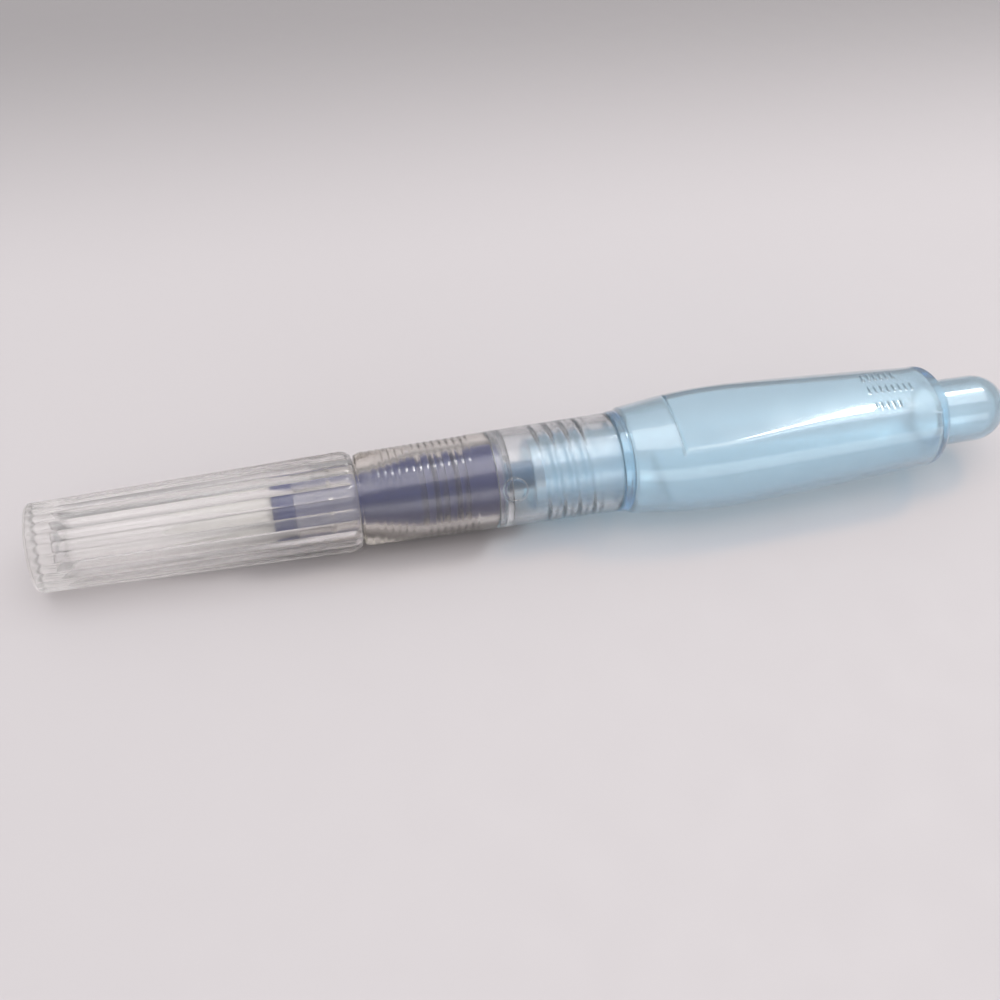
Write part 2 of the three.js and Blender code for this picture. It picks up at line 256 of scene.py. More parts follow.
def revolve(name, outline, sides=128, reshape=None, ring=False, crease_degrees=38):
    """Turns an outline about the pen's axis. It runs rearwards outside and forwards inside.

    A ring closes on itself; anything else starts and ends on the axis. reshape takes arrays of
    station, radius, angle and row number, and gives back y and z.
    """
    stations = np.array([p[0] for p in outline])
    radii = np.array([p[1] for p in outline])
    angles = np.arange(sides) * 2 * math.pi / sides
    station_grid, angle_grid = np.meshgrid(stations, angles, indexing="ij")
    radius_grid = np.repeat(radii[:, None], sides, axis=1)
    y, z = radius_grid * np.cos(angle_grid), radius_grid * np.sin(angle_grid)
    if reshape:
        row_grid = np.repeat(np.arange(len(outline))[:, None], sides, axis=1)
        y, z = reshape(station_grid, radius_grid, angle_grid, row_grid)
    bm = bmesh.new()
    rows = []
    for i in range(len(outline)):
        x = CAP_END_X + stations[i] * MM
        if radii[i] < 1e-6:
            rows.append([bm.verts.new((x, 0, 0))])
        else:
            rows.append([bm.verts.new((x, y[i, k] * MM, z[i, k] * MM)) for k in range(sides)])
    pairs = list(zip(rows, rows[1:])) + ([(rows[-1], rows[0])] if ring else [])
    for low, high in pairs:
        for k in range(sides):
            n = (k + 1) % sides
            corners = [low[k % len(low)], low[n % len(low)], high[n % len(high)], high[k % len(high)]]
            corners = list(dict.fromkeys(corners))
            if len(corners) > 2:
                bm.faces.new(corners)
    return finish_mesh(name, bm, crease_degrees)


def helix_ridge(station, angle, start, turns, half_width, height):
    """The height of a rounded, right-hand thread ridge that fades in and out at its ends."""
    along = station - start - THREAD_PITCH * angle / (2 * math.pi)
    turn = np.clip(np.round(along / THREAD_PITCH), 0, turns - 1)
    away = (along - turn * THREAD_PITCH) / half_width
    done = (turn + angle / (2 * math.pi)) / turns
    fade = np.clip(np.minimum(done, 1 - done) * turns * 6, 0, 1)
    return height * fade * np.clip(1 - away ** 2, 0, 1) ** 2


def smoothstep(value, low, high):
    t = np.clip((value - low) / (high - low), 0, 1)
    return t * t * (3 - 2 * t)


def soft_min(a, b, blend):
    share = np.clip(0.5 + 0.5 * (b - a) / blend, 0, 1)
    return b + (a - b) * share - blend * share * (1 - share)


# ---- Materials -----------------------------------------------------------------------------


class Look:
    """A node material with short calls for the nodes that the looks below share."""

    def __init__(self, name):
        self.material = bpy.data.materials.new(name)
        self.material.use_nodes = True
        self.tree = self.material.node_tree
        self.tree.nodes.clear()
        self.output = self.node("ShaderNodeOutputMaterial")
        self.place = self.node("ShaderNodeTexCoord").outputs["Object"]

    def node(self, kind, **settings):
        made = self.tree.nodes.new(kind)
        for key, value in settings.items():
            setattr(made, key, value)
        return made

    def link(self, source, target):
        self.tree.links.new(source, target)

    def stretched(self, scale):
        """Object coordinates with a scale for each axis."""
        mapping = self.node("ShaderNodeMapping")
        mapping.inputs["Scale"].default_value = scale
        self.link(self.place, mapping.inputs["Vector"])
        return mapping.outputs["Vector"]

    def noise(self, per_metre, detail=3.0, stretch=(1, 1, 1)):
        made = self.node("ShaderNodeTexNoise")
        made.inputs["Scale"].default_value = per_metre
        made.inputs["Detail"].default_value = detail
        self.link(self.stretched(stretch), made.inputs["Vector"])
        return made.outputs["Fac"]

    def spread(self, value, low, high):
        made = self.node("ShaderNodeMapRange")
        made.inputs["To Min"].default_value = low
        made.inputs["To Max"].default_value = high
        made.inputs["From Min"].default_value = 0.3
        made.inputs["From Max"].default_value = 0.7
        self.link(value, made.inputs["Value"])
        return made.outputs["Result"]

    def blend_colour(self, value, first, second):
        made = self.node("ShaderNodeMix", data_type="RGBA")
        made.inputs[6].default_value = (*first, 1)
        made.inputs[7].default_value = (*second, 1)
        self.link(value, made.inputs[0])
        return made.outputs[2]

    def bump(self, height, strength, distance):
        made = self.node("ShaderNodeBump")
        made.inputs["Strength"].default_value = strength
        made.inputs["Distance"].default_value = distance
        self.link(height, made.inputs["Height"])
        return made.outputs["Normal"]

    def plastic(self, **sockets):
        made = self.node("ShaderNodeBsdfPrincipled")
        for key, value in sockets.items():
            made.inputs[key.replace("_", " ")].default_value = value
        return made

    def let_light_through(self, surface, tint):
        """Shadow rays pass with a tint, so that clear plastic lights what is in and under it."""
        path = self.node("ShaderNodeLightPath")
        clear = self.node("ShaderNodeBsdfTransparent")
        clear.inputs["Color"].default_value = (*tint, 1)
        mixed = self.node("ShaderNodeMixShader")
        self.link(path.outputs["Is Shadow Ray"], mixed.inputs[0])
        self.link(surface, mixed.inputs[1])
        self.link(clear.outputs[0], mixed.inputs[2])
        self.link(mixed.outputs[0], self.output.inputs["Surface"])

    def absorb(self, colour, density):
        volume = self.node("ShaderNodeVolumeAbsorption")
        volume.inputs["Color"].default_value = (*colour, 1)
        volume.inputs["Density"].default_value = density
        self.link(volume.outputs[0], self.output.inputs["Volume"])


def clear_plastic(name, tint, second_tint, clearness, roughness, absorb_colour, density, shadow,
                  cloudy=None):
    """Clear moulded plastic: faint flow lines, handling haze and a tint that deepens with depth.

    cloudy is the clearness towards the cap's closed end, which looks milkier than its mouth.
    """
    look = Look(name)
    shader = look.plastic(IOR=1.5, Transmission_Weight=clearness)
    haze = look.noise(260, 4)
    look.link(look.spread(haze, *roughness), shader.inputs["Roughness"])
    look.link(look.blend_colour(look.noise(90, 2), tint, second_tint), shader.inputs["Base Color"])
    flow = look.noise(420, 3, stretch=(0.25, 1, 1))
    look.link(look.bump(flow, 0.05, 0.0001), shader.inputs["Normal"])
    if cloudy is not None:
        along = look.node("ShaderNodeSeparateXYZ")
        look.link(look.place, along.inputs[0])
        clearing = look.node("ShaderNodeMapRange")
        for key, value in (("From Min", FEED_FRONT - 5), ("From Max", FEED_FRONT + 1)):
            clearing.inputs[key].default_value = CAP_END_X + value * MM
        clearing.inputs["To Min"].default_value = cloudy
        clearing.inputs["To Max"].default_value = clearness
        look.link(along.outputs["X"], clearing.inputs["Value"])
        look.link(clearing.outputs["Result"], shader.inputs["Transmission Weight"])
    look.absorb(absorb_colour, density)
    look.let_light_through(shader.outputs[0], shadow)
    return look.material


def cap_plastic():
    return clear_plastic("cap_clear", (1.0, 0.985, 0.98), (0.99, 0.975, 0.97), 0.97, (0.17, 0.24),
                         (0.8, 0.76, 0.72), 12, (0.985, 0.98, 0.978), cloudy=0.88)


def grip_plastic():
    return clear_plastic("grip_clear", (1.0, 0.985, 0.965), (0.985, 0.965, 0.945), 0.98, (0.15, 0.21),
                         (0.8, 0.72, 0.62), 60, (0.965, 0.958, 0.95))


def collar_plastic():
    return clear_plastic("collar_clear", (0.985, 0.99, 1.0), (0.965, 0.975, 0.985), 0.982, (0.17, 0.24),
                         (0.74, 0.8, 0.85), 40, (0.975, 0.98, 0.985))


def bottle_plastic():
    """Soft translucent blue plastic: glossy outside, cloudy within, deeper where it is thick."""
    look = Look("bottle_blue")
    shader = look.plastic(IOR=1.48, Transmission_Weight=0.84, Coat_Weight=1.0, Coat_Roughness=0.05,
                          Coat_IOR=1.5)
    cloud = look.noise(120, 4)
    look.link(look.blend_colour(cloud, (0.84, 0.93, 0.98), (0.87, 0.945, 0.985)),
              shader.inputs["Base Color"])
    look.link(look.spread(look.noise(300, 3), 0.15, 0.24), shader.inputs["Roughness"])
    look.link(look.bump(look.noise(200, 3), 0.04, 0.0002), shader.inputs["Normal"])
    look.absorb((0.3, 0.76, 0.95), 270)
    look.let_light_through(shader.outputs[0], (0.975, 0.984, 0.988))
    return look.material


def navy_plastic():
    """Satin dark navy moulding with fine turning marks."""
    look = Look("feed_navy")
    shader = look.plastic(IOR=1.5)
    look.link(look.blend_colour(look.noise(500, 3), (0.006, 0.018, 0.15), (0.01, 0.026, 0.19)),
              shader.inputs["Base Color"])
    look.link(look.spread(look.noise(900, 3), 0.3, 0.48), shader.inputs["Roughness"])
    rings = look.noise(1500, 2, stretch=(2.5, 0.3, 0.3))
    look.link(look.bump(rings, 0.25, 0.00005), shader.inputs["Normal"])
    look.link(shader.outputs[0], look.output.inputs["Surface"])
    return look.material


def plug_plastic():
    """Satin steel blue moulding."""
    look = Look("plug_blue")
    shader = look.plastic(IOR=1.5)
    look.link(look.blend_colour(look.noise(700, 3), (0.1, 0.2, 0.34), (0.14, 0.25, 0.4)),
              shader.inputs["Base Color"])
    look.link(look.spread(look.noise(900, 2), 0.35, 0.55), shader.inputs["Roughness"])
    look.link(look.bump(look.noise(1800, 2), 0.2, 0.00005), shader.inputs["Normal"])
    look.link(shader.outputs[0], look.output.inputs["Surface"])
    return look.material


def filament_nylon():
    """White synthetic filament, a little glassy, with fine streaks along its length."""
    look = Look("filament_white")
    shader = look.plastic(IOR=1.5, Subsurface_Weight=0.3, Subsurface_Radius=(0.0004,) * 3)
    streak = look.noise(4000, 2, stretch=(0.05, 1, 1))
    look.link(look.blend_colour(streak, (0.8, 0.79, 0.78), (0.87, 0.86, 0.85)),
              shader.inputs["Base Color"])
    look.link(look.spread(streak, 0.28, 0.45), shader.inputs["Roughness"])
    glow = look.node("ShaderNodeBsdfTranslucent")
    glow.inputs["Color"].default_value = (0.72, 0.71, 0.71, 1)
    both = look.node("ShaderNodeMixShader")
    both.inputs[0].default_value = 0.4
    look.link(shader.outputs[0], both.inputs[1])
    look.link(glow.outputs[0], both.inputs[2])
    look.let_light_through(both.outputs[0], (0.9, 0.9, 0.89))
    return look.material


def pale_floor():
    """Matt pale paper, a little mottled, with painted shade in its colour that darkens it towards the far
    side, behind the pen.
    """
    look = Look("floor_pale")
    shader = look.plastic(IOR=1.4)
    mottle = look.blend_colour(look.noise(9, 4), (0.575, 0.545, 0.555), (0.595, 0.565, 0.575))
    across = look.node("ShaderNodeSeparateXYZ")
    look.link(look.place, across.inputs[0])
    # painted shade: the colour darkens with Y, towards the far side behind the pen
    shade = look.node("ShaderNodeMapRange", interpolation_type="SMOOTHSTEP")
    shade.inputs["From Min"].default_value, shade.inputs["From Max"].default_value = FLOOR_PAINTED_SHADE_SPAN
    shade.inputs["To Min"].default_value, shade.inputs["To Max"].default_value = 1.0, FLOOR_PAINTED_FAR_SHADE
    look.link(across.outputs["Y"], shade.inputs["Value"])
    floor_colour = look.node("ShaderNodeMix", data_type="RGBA", blend_type="MULTIPLY")
    floor_colour.inputs[0].default_value = 1
    look.link(mottle, floor_colour.inputs[6])
    look.link(shade.outputs["Result"], floor_colour.inputs[7])
    look.link(floor_colour.outputs[2], shader.inputs["Base Color"])
    look.link(look.spread(look.noise(160, 4), 0.55, 0.7), shader.inputs["Roughness"])
    look.link(look.bump(look.noise(1400, 4), 0.05, 0.0002), shader.inputs["Normal"])
    look.link(shader.outputs[0], look.output.inputs["Surface"])
    return look.material


# ---- Pieces --------------------------------------------------------------------------------


def place(piece, body, node, material):
    """Puts a finished piece on its body, in place of its CAD node."""
    piece.data.materials.append(material)
    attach(piece, body)
    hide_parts(node)
    return piece


def make_cap():
    taper = (CAP_MOUTH_RADIUS - CAP_END_RADIUS) / CAP_MOUTH
    outside = rounded([
        (0, 0, 0),
        (0, CAP_END_RADIUS, 0.55),
        (CAP_MOUTH - 0.9, CAP_END_RADIUS + taper * CAP_MOUTH, 1.0),
        (CAP_MOUTH, CAP_MOUTH_RADIUS - 0.55, 0.25),
        (CAP_MOUTH, CAP_SEAT_RADIUS + 0.25, 0),
    ], steps=8)
    outside = refined(outside, CAP_ROWS_APART)
    inside = rounded([
        (CAP_MOUTH, CAP_SEAT_RADIUS + 0.25, 0),
        (CAP_MOUTH - 0.5, CAP_SEAT_RADIUS + FIT, 0.3),
        (CAP_MOUTH - CAP_SEAT_DEPTH, CAP_SEAT_RADIUS + FIT, 0.3),
        (CAP_MOUTH - CAP_SEAT_DEPTH - 0.6, CAP_SEAT_RADIUS - 0.1, 0.3),
        (CAP_HOLLOW_END + 2, CAP_HOLLOW_RADIUS, 2.0),
        (CAP_HOLLOW_END, 2.2, 1.2),
        (CAP_HOLLOW_END, 0, 0),
    ], steps=6)[1:]
    outline = outside + inside
    fluted_rows = len(outside)

    def flute(station, radius, angle, row):
        wave = np.abs(np.sin(angle * CAP_FLUTES / 2)) ** CAP_FLUTE_POWER
        ends = smoothstep(station, 0.25, 1.1) * (1 - smoothstep(station, CAP_MOUTH - 1.1, CAP_MOUTH - 0.2))
        outer = (row < fluted_rows) & (radius > CAP_END_RADIUS - 1)
        cut = CAP_FLUTE_DEPTH * (1 - wave) * ends * outer
        return (radius - cut) * np.cos(angle), (radius - cut) * np.sin(angle)

    piece = revolve("cap_fluted", outline, sides=CAP_FLUTES * 14, reshape=flute, crease_degrees=30)
    return place(piece, "cap", "cap", cap_plastic())


def make_grip():
    pitch = (RING_END - RING_START) / RINGS
    rings = []
    for i in range(RINGS):
        crest = GRIP_FRONT_RADIUS + (GRIP_REAR_RADIUS - GRIP_FRONT_RADIUS) * i / RINGS
        start = RING_START + pitch * i
        rings += [(start, crest - RING_DEPTH, 0.1), (start + pitch * 0.5, crest, 0.22)]
    corners = [
        (NOSE_FRONT, FEED_NECK_RADIUS + FIT, 0),
        (NOSE_FRONT, NOSE_RADIUS, 0.3),
        (NOSE_FRONT + 1.45, NOSE_RADIUS, 0.1),
        (NOSE_FRONT + 1.6, NOSE_RADIUS + NOSE_STEP, 0.1),
        (NOSE_FRONT + 3.8, NOSE_RADIUS + NOSE_STEP, 0.15),
        (NOSE_FRONT + 4.3, CAP_SEAT_RADIUS, 0.2),
        (GRIP_FRONT, CAP_SEAT_RADIUS, 0.1),
        (GRIP_FRONT, GRIP_FRONT_RADIUS - 0.3, 0.25),
        (GRIP_FRONT + 0.9, GRIP_FRONT_RADIUS, 0.5),
        *rings,
        (RING_END, GRIP_REAR_RADIUS - RING_DEPTH, 0.08),
        (RING_END + 0.2, GRIP_REAR_RADIUS, 0.1),
        (JOINT - FIT, GRIP_REAR_RADIUS + 0.02, 0.1),
        (JOINT - FIT, SPIGOT_RADIUS, 0.05),
        (JOINT + SPIGOT_LENGTH, SPIGOT_RADIUS, 0.1),
        (JOINT + SPIGOT_LENGTH, FEED_FLANGE_RADIUS + FIT, 0.05),
        (TAPER_REAR + 0.2, FEED_FLANGE_RADIUS + FIT, 0.5),
        (TAPER_MIDDLE, TAPER_MIDDLE_RADIUS + 0.15, 0.5),
        (TAPER_FRONT + 0.2, FEED_NECK_RADIUS + FIT, 0.5),
        (NOSE_FRONT, FEED_NECK_RADIUS + FIT, 0),
    ]
    outline = rounded(corners, steps=4)[:-1]
    piece = revolve("grip_ringed", outline, sides=160, ring=True, crease_degrees=50)
    return place(piece, "head", "grip_section", grip_plastic())


def make_feed():
    pitch = (FIN_END - FIN_START) / FEED_FINS
    fins = []
    for i in range(FEED_FINS):
        start = FIN_START + pitch * i
        fins += [
            (start, FEED_BODY_RADIUS, 0.05),
            (start + 0.05, FEED_BODY_RADIUS - FIN_GROOVE, 0.05),
            (start + FIN_GROOVE - 0.05, FEED_BODY_RADIUS - FIN_GROOVE, 0.05),
            (start + FIN_GROOVE, FEED_BODY_RADIUS, 0.05),
        ]
    corners = [
        (FEED_FRONT, TUFT_RADIUS + FIT, 0),
        (FEED_FRONT, FEED_TIP_RADIUS, 0.1),
        (FEED_FRONT + 0.8, FEED_SHOULDER_RADIUS, 0.4),
        (FEED_FRONT + 2.2, FEED_NECK_RADIUS, 0.4),
        (TAPER_FRONT, FEED_NECK_RADIUS, 0.4),
        (TAPER_MIDDLE, TAPER_MIDDLE_RADIUS, 0.5),
        (TAPER_REAR, FEED_BODY_RADIUS, 0.2),
        *fins,
        (FIN_END + 0.1, FEED_FLANGE_RADIUS, 0.08),
        (FEED_REAR, FEED_FLANGE_RADIUS, 0.25),
        (FEED_REAR, PLUG_RADIUS + FIT, 0.05),
        (PLUG_FRONT - 0.1, PLUG_RADIUS + FIT, 0.05),
        (PLUG_FRONT - 0.1, CHANNEL_RADIUS, 0.05),
        (ROOT_REAR + FIT, CHANNEL_RADIUS, 0.05),
        (ROOT_REAR + FIT, TUFT_RADIUS + FIT, 0.05),
        (FEED_FRONT, TUFT_RADIUS + FIT, 0),
    ]
    outline = rounded(corners, steps=3)[:-1]
    piece = revolve("feed_navy_core", outline, sides=96, ring=True)
    return place(piece, "feed", "feed_core", navy_plastic())


def make_plug():
    corners = [
        (PLUG_FRONT, CHANNEL_RADIUS, 0),
        (PLUG_FRONT, PLUG_RADIUS, 0.1),
        (PLUG_REAR, PLUG_RADIUS, 0.4),
        (PLUG_REAR, CHANNEL_RADIUS, 0.1),
        (PLUG_FRONT, CHANNEL_RADIUS, 0),
    ]
    piece = revolve("flow_plug_blue", rounded(corners)[:-1], sides=64, ring=True)
    return place(piece, "feed", "flow_plug", plug_plastic())


def make_tuft_root():
    corners = [
        (ROOT_FRONT, 0, 0),
        (ROOT_FRONT, TUFT_RADIUS - 0.05, 0.25),
        (ROOT_REAR, TUFT_RADIUS - 0.05, 0.25),
        (ROOT_REAR, 0, 0),
    ]
    piece = revolve("tuft_fused_root", rounded(corners), sides=48)
    return place(piece, "head", "tuft_root", filament_nylon())


def tuft_half_width(station):
    share = min(max((FEED_FRONT - station) / (FEED_FRONT - TUFT_TIP), 0), 1)
    swell = 1 + 0.12 * math.sin(math.pi * min(share / 0.5, 1))
    return TUFT_RADIUS * swell * max(math.cos(share * math.pi / 2), 0) ** 0.6


def filament(bm, place_in_tuft, tip, rng):
    """One tapered filament from the fused root to its own tip."""
    root = ROOT_FRONT - 0.1
    rows, sides = FILAMENT_ROWS, FILAMENT_SIDES
    root_radius = rng.uniform(*FILAMENT_RADII)
    lean, turn = rng.uniform(0, 0.06), rng.uniform(0, 2 * math.pi)
    previous = None
    for i in range(rows):
        share = i / (rows - 1)
        station = root + (tip - root) * share
        width = max(tuft_half_width(station), 0.05)
        wander = lean * math.sin(share * math.pi)
        centre_y = place_in_tuft[0] * width + wander * math.cos(turn)
        centre_z = place_in_tuft[1] * width + wander * math.sin(turn)
        radius = root_radius * (1 - 0.8 * share ** 2.2)
        ring = []
        for k in range(sides):
            angle = 2 * math.pi * k / sides
            ring.append(bm.verts.new((
                CAP_END_X + station * MM,
                (centre_y + radius * math.cos(angle)) * MM,
                (centre_z + radius * math.sin(angle)) * MM,
            )))
        if previous:
            for k in range(sides):
                bm.faces.new([previous[k], previous[(k + 1) % sides], ring[(k + 1) % sides], ring[k]])
        else:
            bm.faces.new(ring)
        previous = ring
    bm.faces.new(previous[::-1])


def lock_centres():
    """Where each lock stands in the tuft: one in the middle, six round it, twelve round them."""
    centres = []
    for count, out in LOCK_RINGS:
        centres += [(out * math.cos(2 * math.pi * i / count), out * math.sin(2 * math.pi * i / count))
                    for i in range(count)]
    return centres


def make_tuft():
    rng = random.Random(7)
    nylon = filament_nylon()
    for node, (across, up) in zip(LOCK_NODES, lock_centres()):
        bm = bmesh.new()
        for i in range(FILAMENTS_PER_LOCK):
            out = LOCK_RADIUS * math.sqrt((i + 0.5) / FILAMENTS_PER_LOCK)
            turn = i * math.pi * (3 - math.sqrt(5)) + rng.uniform(-0.2, 0.2)
            spot = (across + out * math.cos(turn), up + out * math.sin(turn))
            far = math.hypot(*spot)
            tip = TUFT_TIP + 1.6 * far ** 2 + rng.uniform(0, 0.9)
            filament(bm, spot, tip, rng)
        piece = finish_mesh(node.replace("tuft_lock", "filaments"), bm)
        place(piece, "head", node, nylon)


def make_collar():
    web = FEED_REAR + FIT
    step = JOINT + SPIGOT_LENGTH + FIT
    front = rounded([
        (JOINT, COLLAR_SOCKET_RADIUS, 0),
        (JOINT, COLLAR_FRONT_RADIUS, 0.1),
        (JOINT + 0.3, COLLAR_FRONT_RADIUS, 0),
    ])
    rear = rounded([
        (JOINT + 4, COLLAR_FRONT_RADIUS + 0.06, 0),
        (COLLAR_REAR, COLLAR_REAR_RADIUS, 0.25),
        (COLLAR_REAR, COLLAR_BORE + 0.2, 0.1),
        (COLLAR_REAR - 0.4, COLLAR_BORE, 0),
    ])
    outside = front + refined([front[-1], rear[0]], 0.08)[1:-1] + rear
    chamber = web + WEB_THICKNESS
    bore = [(COLLAR_REAR - 0.4 - i * 0.09, COLLAR_BORE) for i in range(1, 200)]
    bore = [p for p in bore if p[0] > chamber + 0.3]
    inside = rounded([
        (chamber + 0.25, COLLAR_BORE, 0),
        (chamber, COLLAR_BORE, 0.2),
        (chamber, WEB_HOLE_RADIUS, 0.1),
        (web, WEB_HOLE_RADIUS, 0.1),
        (web, FEED_FLANGE_RADIUS + FIT, 0.05),
        (step, FEED_FLANGE_RADIUS + FIT, 0.05),
        (step, COLLAR_SOCKET_RADIUS, 0.05),
        (JOINT, COLLAR_SOCKET_RADIUS, 0),
    ])[:-1]
    outline = outside + bore + inside
    start = THREAD_START - THREAD_PITCH / 2

    def thread(station, radius, angle, row):
        on_bore = (row > len(outside) - 2) & (row < len(outside) + len(bore))
        cut = helix_ridge(station, angle, start, COLLAR_THREAD_TURNS, *COLLAR_RIDGE) * on_bore
        around = (angle - math.radians(MOULD_RING[1])) * COLLAR_FRONT_RADIUS
        away = np.abs(np.hypot(station - MOULD_RING[0], around) - MOULD_RING_RADIUS)
        mark = MOULD_RING_RELIEF * (1 - smoothstep(away, 0.02, 0.16)) * (row < len(outside))
        radius = radius - cut + mark
        return radius * np.cos(angle), radius * np.sin(angle)

    piece = revolve("collar_threaded", outline, sides=288, reshape=thread, ring=True, crease_degrees=60)
    return place(piece, "head", "threaded_collar", collar_plastic())


def bottle_half_width(station):
    front = (BELLY - station) / (BELLY - LIP)
    back = (station - BELLY) / (SHOULDER - BELLY)
    if station < BELLY:
        return BELLY_HALF_WIDTH - (BELLY_HALF_WIDTH - LIP_HALF_WIDTH) * front ** 2.2
    return BELLY_HALF_WIDTH - (BELLY_HALF_WIDTH - SHOULDER_HALF_WIDTH) * back ** 1.35


def marks_relief(station, y, z):
    """Rows of plain raised ticks near the rear of the upper flat."""
    relief = np.zeros_like(station)
    for across, ticks in MARK_ROWS:
        for tick in range(ticks):
            middle = MARK_START + MARK_PITCH * tick
            inside = np.minimum(
                MARK_HALF_SIZE[0] - np.abs(station - middle),
                MARK_HALF_SIZE[1] - np.abs(y - across),
            )
            relief = np.maximum(relief, MARK_HEIGHT * smoothstep(inside, 0, 0.1))
    return np.where(z > 0, relief, 0)


def bottle_outline(wall):
    """The bottle's half-widths from just behind the lip's groove to the tip of the nub, less a wall."""
    rows = []
    station = LIP_GROOVE + 0.4
    marks_end = MARK_START + MARK_PITCH * 8
    while station < SHOULDER:
        rows.append((station, bottle_half_width(station) - wall))
        near_crease = -0.2 < station - CREASE < 1.2
        near_marks = wall == 0 and MARK_START - 0.6 < station < marks_end
        station += 0.06 if near_crease else 0.1 if near_marks else 0.5
    for i in range(15):
        angle = i / 14 * math.pi / 2
        reach = (SHOULDER_DEPTH - wall) * math.sin(angle)
        radius = NUB_RADIUS + (SHOULDER_HALF_WIDTH - NUB_RADIUS) * math.cos(angle) ** 0.9
        rows.append((SHOULDER + reach, radius - wall))
    centre = TAIL_TIP - NUB_RADIUS
    for i in range(1, 6):
        rows.append((rows[-1][0] + (centre - rows[-1][0]) * i / 6, NUB_RADIUS - wall))
    for i in range(17):
        angle = i / 16 * math.pi / 2
        rows.append((centre + (NUB_RADIUS - wall) * math.sin(angle), (NUB_RADIUS - wall) * math.cos(angle)))
    rows[-1] = (rows[-1][0], 0)
    return rows


def bottle_section(station, radius, angle, wall):
    """A low oval between the lip and the nub, with a crowned flat above and below the axis."""
    rounding = smoothstep(station, SHOULDER - 1, SHOULDER + SHOULDER_DEPTH)
    oval = smoothstep(station, LIP, CREASE - 1) * (1 - rounding)
    y = radius * np.cos(angle)
    z = radius * np.sin(angle) * (1 - (1 - BOTTLE_HEIGHT_RATIO) * oval)
    rearwards = np.clip((station - CREASE) / (SHOULDER - CREASE), 0, 1)
    crown_radius = CROWN_FRONT_RADIUS + (CROWN_REAR_RADIUS - CROWN_FRONT_RADIUS) * rearwards
    before_crease = CREASE_LEDGE * (1 - smoothstep(station, CREASE, CREASE + 0.5))
    groove = CREASE_DEPTH * np.exp(-((station - CREASE - 0.62) / 0.16) ** 2)
    lengthwise = CROWN_FALL * (station - CROWN_STATION) ** 2
    crown = CROWN_HEIGHT - wall - lengthwise - y ** 2 / (2 * crown_radius) + before_crease
    height = soft_min(np.abs(z), crown - groove, 0.12)
    z = np.where(np.abs(z) > crown - 0.3, np.sign(z) * height, z)
    return y, z + marks_relief(station, y, z) * (wall == 0)


def make_barrel():
    inner_body = bottle_outline(BOTTLE_WALL)
    outer_body = bottle_outline(0.0)
    neck_inside = [(LIP_GROOVE + 0.2, NECK_BORE + 0.1), (LIP - 0.2, NECK_BORE), (NECK_FRONT, NECK_BORE)]
    inside = inner_body[::-1] + neck_inside
    front = rounded([
        (NECK_FRONT, NECK_BORE, 0),
        (NECK_FRONT, NECK_RADIUS, 0.2),
        (NECK_FRONT + 0.5, NECK_RADIUS, 0),
    ])[1:]
    neck = [(NECK_FRONT + 0.5 + 0.11 * i, NECK_RADIUS) for i in range(1, 200)]
    neck = [p for p in neck if p[0] < LIP - 0.3]
    lip = rounded([
        (LIP - 0.3, NECK_RADIUS, 0),
        (LIP, NECK_RADIUS, 0.15),
        (LIP, LIP_HALF_WIDTH - 0.05, 0.25),
        (LIP_GROOVE - 0.3, LIP_HALF_WIDTH + 0.1, 0.15),
        (LIP_GROOVE, LIP_HALF_WIDTH - 0.14, 0.12),
        (LIP_GROOVE + 0.3, bottle_half_width(LIP_GROOVE + 0.3), 0),
    ])
    outline = inside + front + neck + lip + outer_body
    body_rows = len(inner_body)
    neck_rows = range(len(inside) + len(front), len(inside) + len(front) + len(neck))

    def shape(station, radius, angle, row):
        on_neck = (row >= neck_rows.start) & (row < neck_rows.stop)
        ridge = helix_ridge(station, angle, THREAD_START, NECK_THREAD_TURNS, *NECK_RIDGE) * on_neck
        wall = np.where(row < body_rows, BOTTLE_WALL, 0.0)
        return bottle_section(station, radius + ridge, angle, wall)

    piece = revolve("barrel_bottle", outline, sides=320, reshape=shape, crease_degrees=60)
    return place(piece, "bottle", "barrel", bottle_plastic())


# ---- Stage ---------------------------------------------------------------------------------


def make_floor():
    """A plane that touches the bottle's underside and the rim of the cap's closed end."""
    rest_front = Vector((CAP_END_X + 0.6 * MM, 0, -CAP_END_RADIUS * MM))
    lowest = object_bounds()[0].z
    rest_rear = Vector((CAP_END_X + CREASE * MM, 0, lowest))
    along = (rest_rear - rest_front).normalized()
    across = Vector((0, 1, 0))
    up = along.cross(across)
    if up.z < 0:
        up.negate()
    middle = (rest_front + rest_rear) / 2 - up * 0.00002
    along, across = along * FLOOR_REACH, across * FLOOR_REACH
    bm = bmesh.new()
    corners = [middle + along * a + across * b for a, b in ((-1, -1), (1, -1), (1, 1), (-1, 1))]
    bm.faces.new([bm.verts.new(c) for c in corners])
    floor = finish_mesh("floor", bm)
    floor.data.materials.append(pale_floor())


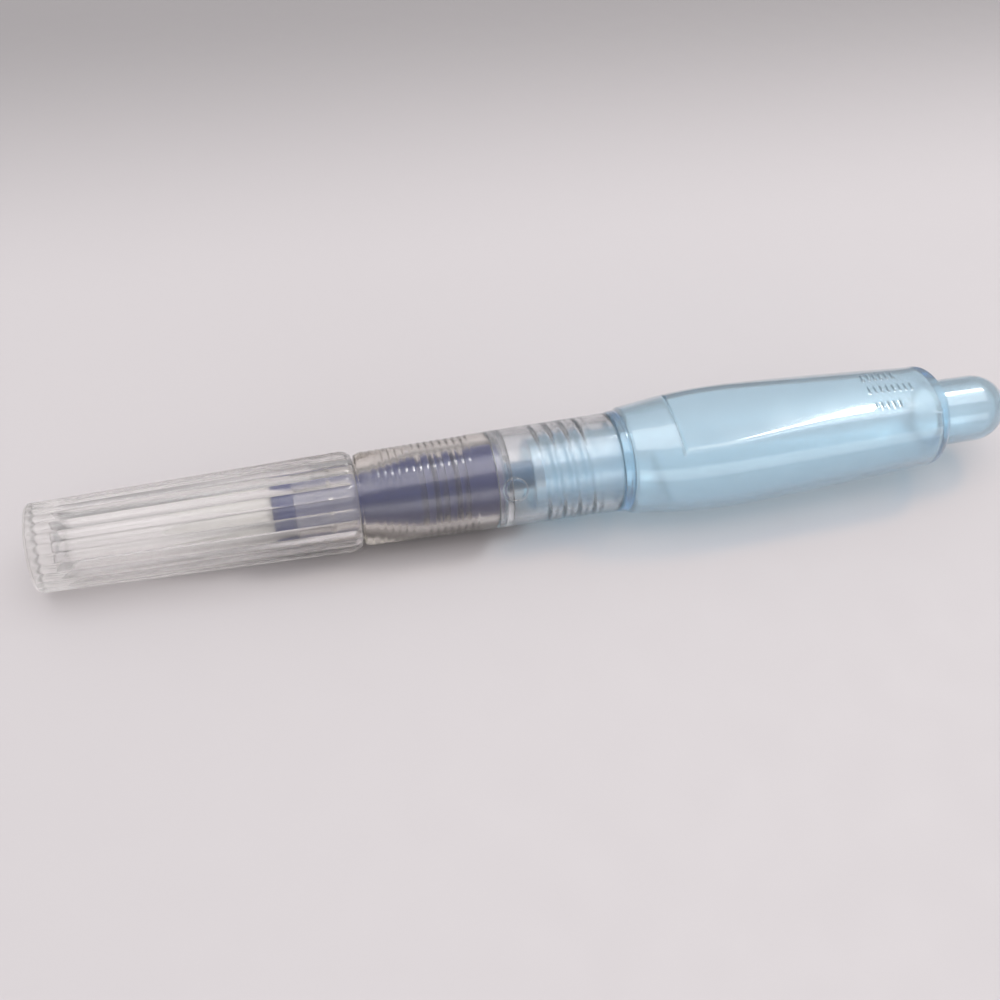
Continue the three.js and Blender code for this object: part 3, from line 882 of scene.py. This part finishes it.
def make_camera():
    """Looks down on the pen from its side, rolled a little and from nearer the cap's end."""
    elevation, recede, roll = (math.radians(d) for d in (CAMERA_ELEVATION, CAMERA_RECEDE, CAMERA_ROLL))
    joint = Vector((CAP_END_X + JOINT * MM, 0, 0))
    side = Vector((0, -math.cos(elevation), math.sin(elevation)))
    pen = Vector((1, 0, 0))
    back = (side * math.cos(recede) - pen * math.sin(recede)).normalized()
    along = (pen + back * math.sin(recede)).normalized()
    above = back.cross(along)
    right = along * math.cos(roll) - above * math.sin(roll)
    up = along * math.sin(roll) + above * math.cos(roll)
    data = bpy.data.cameras.new("camera")
    data.sensor_width = 36
    data.lens = data.sensor_width * CAMERA_LENS_RATIO
    camera = bpy.data.objects.new("camera", data)
    bpy.context.scene.collection.objects.link(camera)
    camera.matrix_world = Matrix((
        (right.x, up.x, back.x, 0), (right.y, up.y, back.y, 0), (right.z, up.z, back.z, 0), (0, 0, 0, 1),
    ))
    aim = joint - right * JOINT_OFF_CENTRE[0] - up * JOINT_OFF_CENTRE[1]
    camera.location = aim + back * CAMERA_DISTANCE
    bpy.context.scene.camera = camera


def area_light(name, bearing, turn, size, radiance, colour):
    """A soft panel a metre from the pen, facing it.

    Its bearing is in degrees from straight up, towards +Y and then towards +X. Its length lies along
    X, turned from there towards +Y.
    """
    tilt, lean, spin = (math.radians(d) for d in (*bearing, turn))
    way = Vector((math.sin(lean), math.sin(tilt) * math.cos(lean), math.cos(tilt) * math.cos(lean)))
    level = (Vector((1, 0, 0)) - way * way.x).normalized()
    along = level * math.cos(spin) + way.cross(level) * math.sin(spin)
    across = way.cross(along)
    data = bpy.data.lights.new(name, "AREA")
    data.shape = "RECTANGLE"
    data.size, data.size_y = size
    data.energy = radiance * math.pi * size[0] * size[1]
    data.color = colour
    light = bpy.data.objects.new(name, data)
    light.matrix_world = Matrix((
        (along.x, across.x, way.x, way.x),
        (along.y, across.y, way.y, way.y),
        (along.z, across.z, way.z, way.z),
        (0, 0, 0, 1),
    ))
    bpy.context.scene.collection.objects.link(light)


def make_lights():
    """The panels, and a soft world that is brightest overhead."""
    for panel in PANELS:
        area_light(*panel)
    world = bpy.data.worlds.new("studio")
    bpy.context.scene.world = world
    world.use_nodes = True
    nodes, links = world.node_tree.nodes, world.node_tree.links
    background = nodes["Background"]
    direction = nodes.new("ShaderNodeTexCoord").outputs["Generated"]
    upwards = nodes.new("ShaderNodeVectorMath")
    upwards.operation = "DOT_PRODUCT"
    upwards.inputs[1].default_value = (0, -0.2, 0.98)
    glow = nodes.new("ShaderNodeMapRange")
    glow.inputs["From Min"].default_value = -0.35
    glow.inputs["To Min"].default_value = 0.2
    glow.inputs["To Max"].default_value = 0.62
    background.inputs["Color"].default_value = (0.985, 0.965, 0.985, 1)
    links.new(direction, upwards.inputs[0])
    links.new(upwards.outputs["Value"], glow.inputs["Value"])
    links.new(glow.outputs["Result"], background.inputs["Strength"])


def set_colour_and_light_paths():
    scene = bpy.context.scene
    scene.view_settings.view_transform = "Standard"
    scene.cycles.caustics_refractive = False
    scene.cycles.caustics_reflective = False
    scene.cycles.sample_clamp_indirect = 4
    scene.cycles.max_bounces = 24
    scene.cycles.transmission_bounces = 22
    scene.cycles.transparent_max_bounces = 40


make_camera()
set_colour_and_light_paths()
make_floor()
make_cap()
make_grip()
make_feed()
make_plug()
make_tuft_root()
make_tuft()
make_collar()
make_barrel()
make_lights()
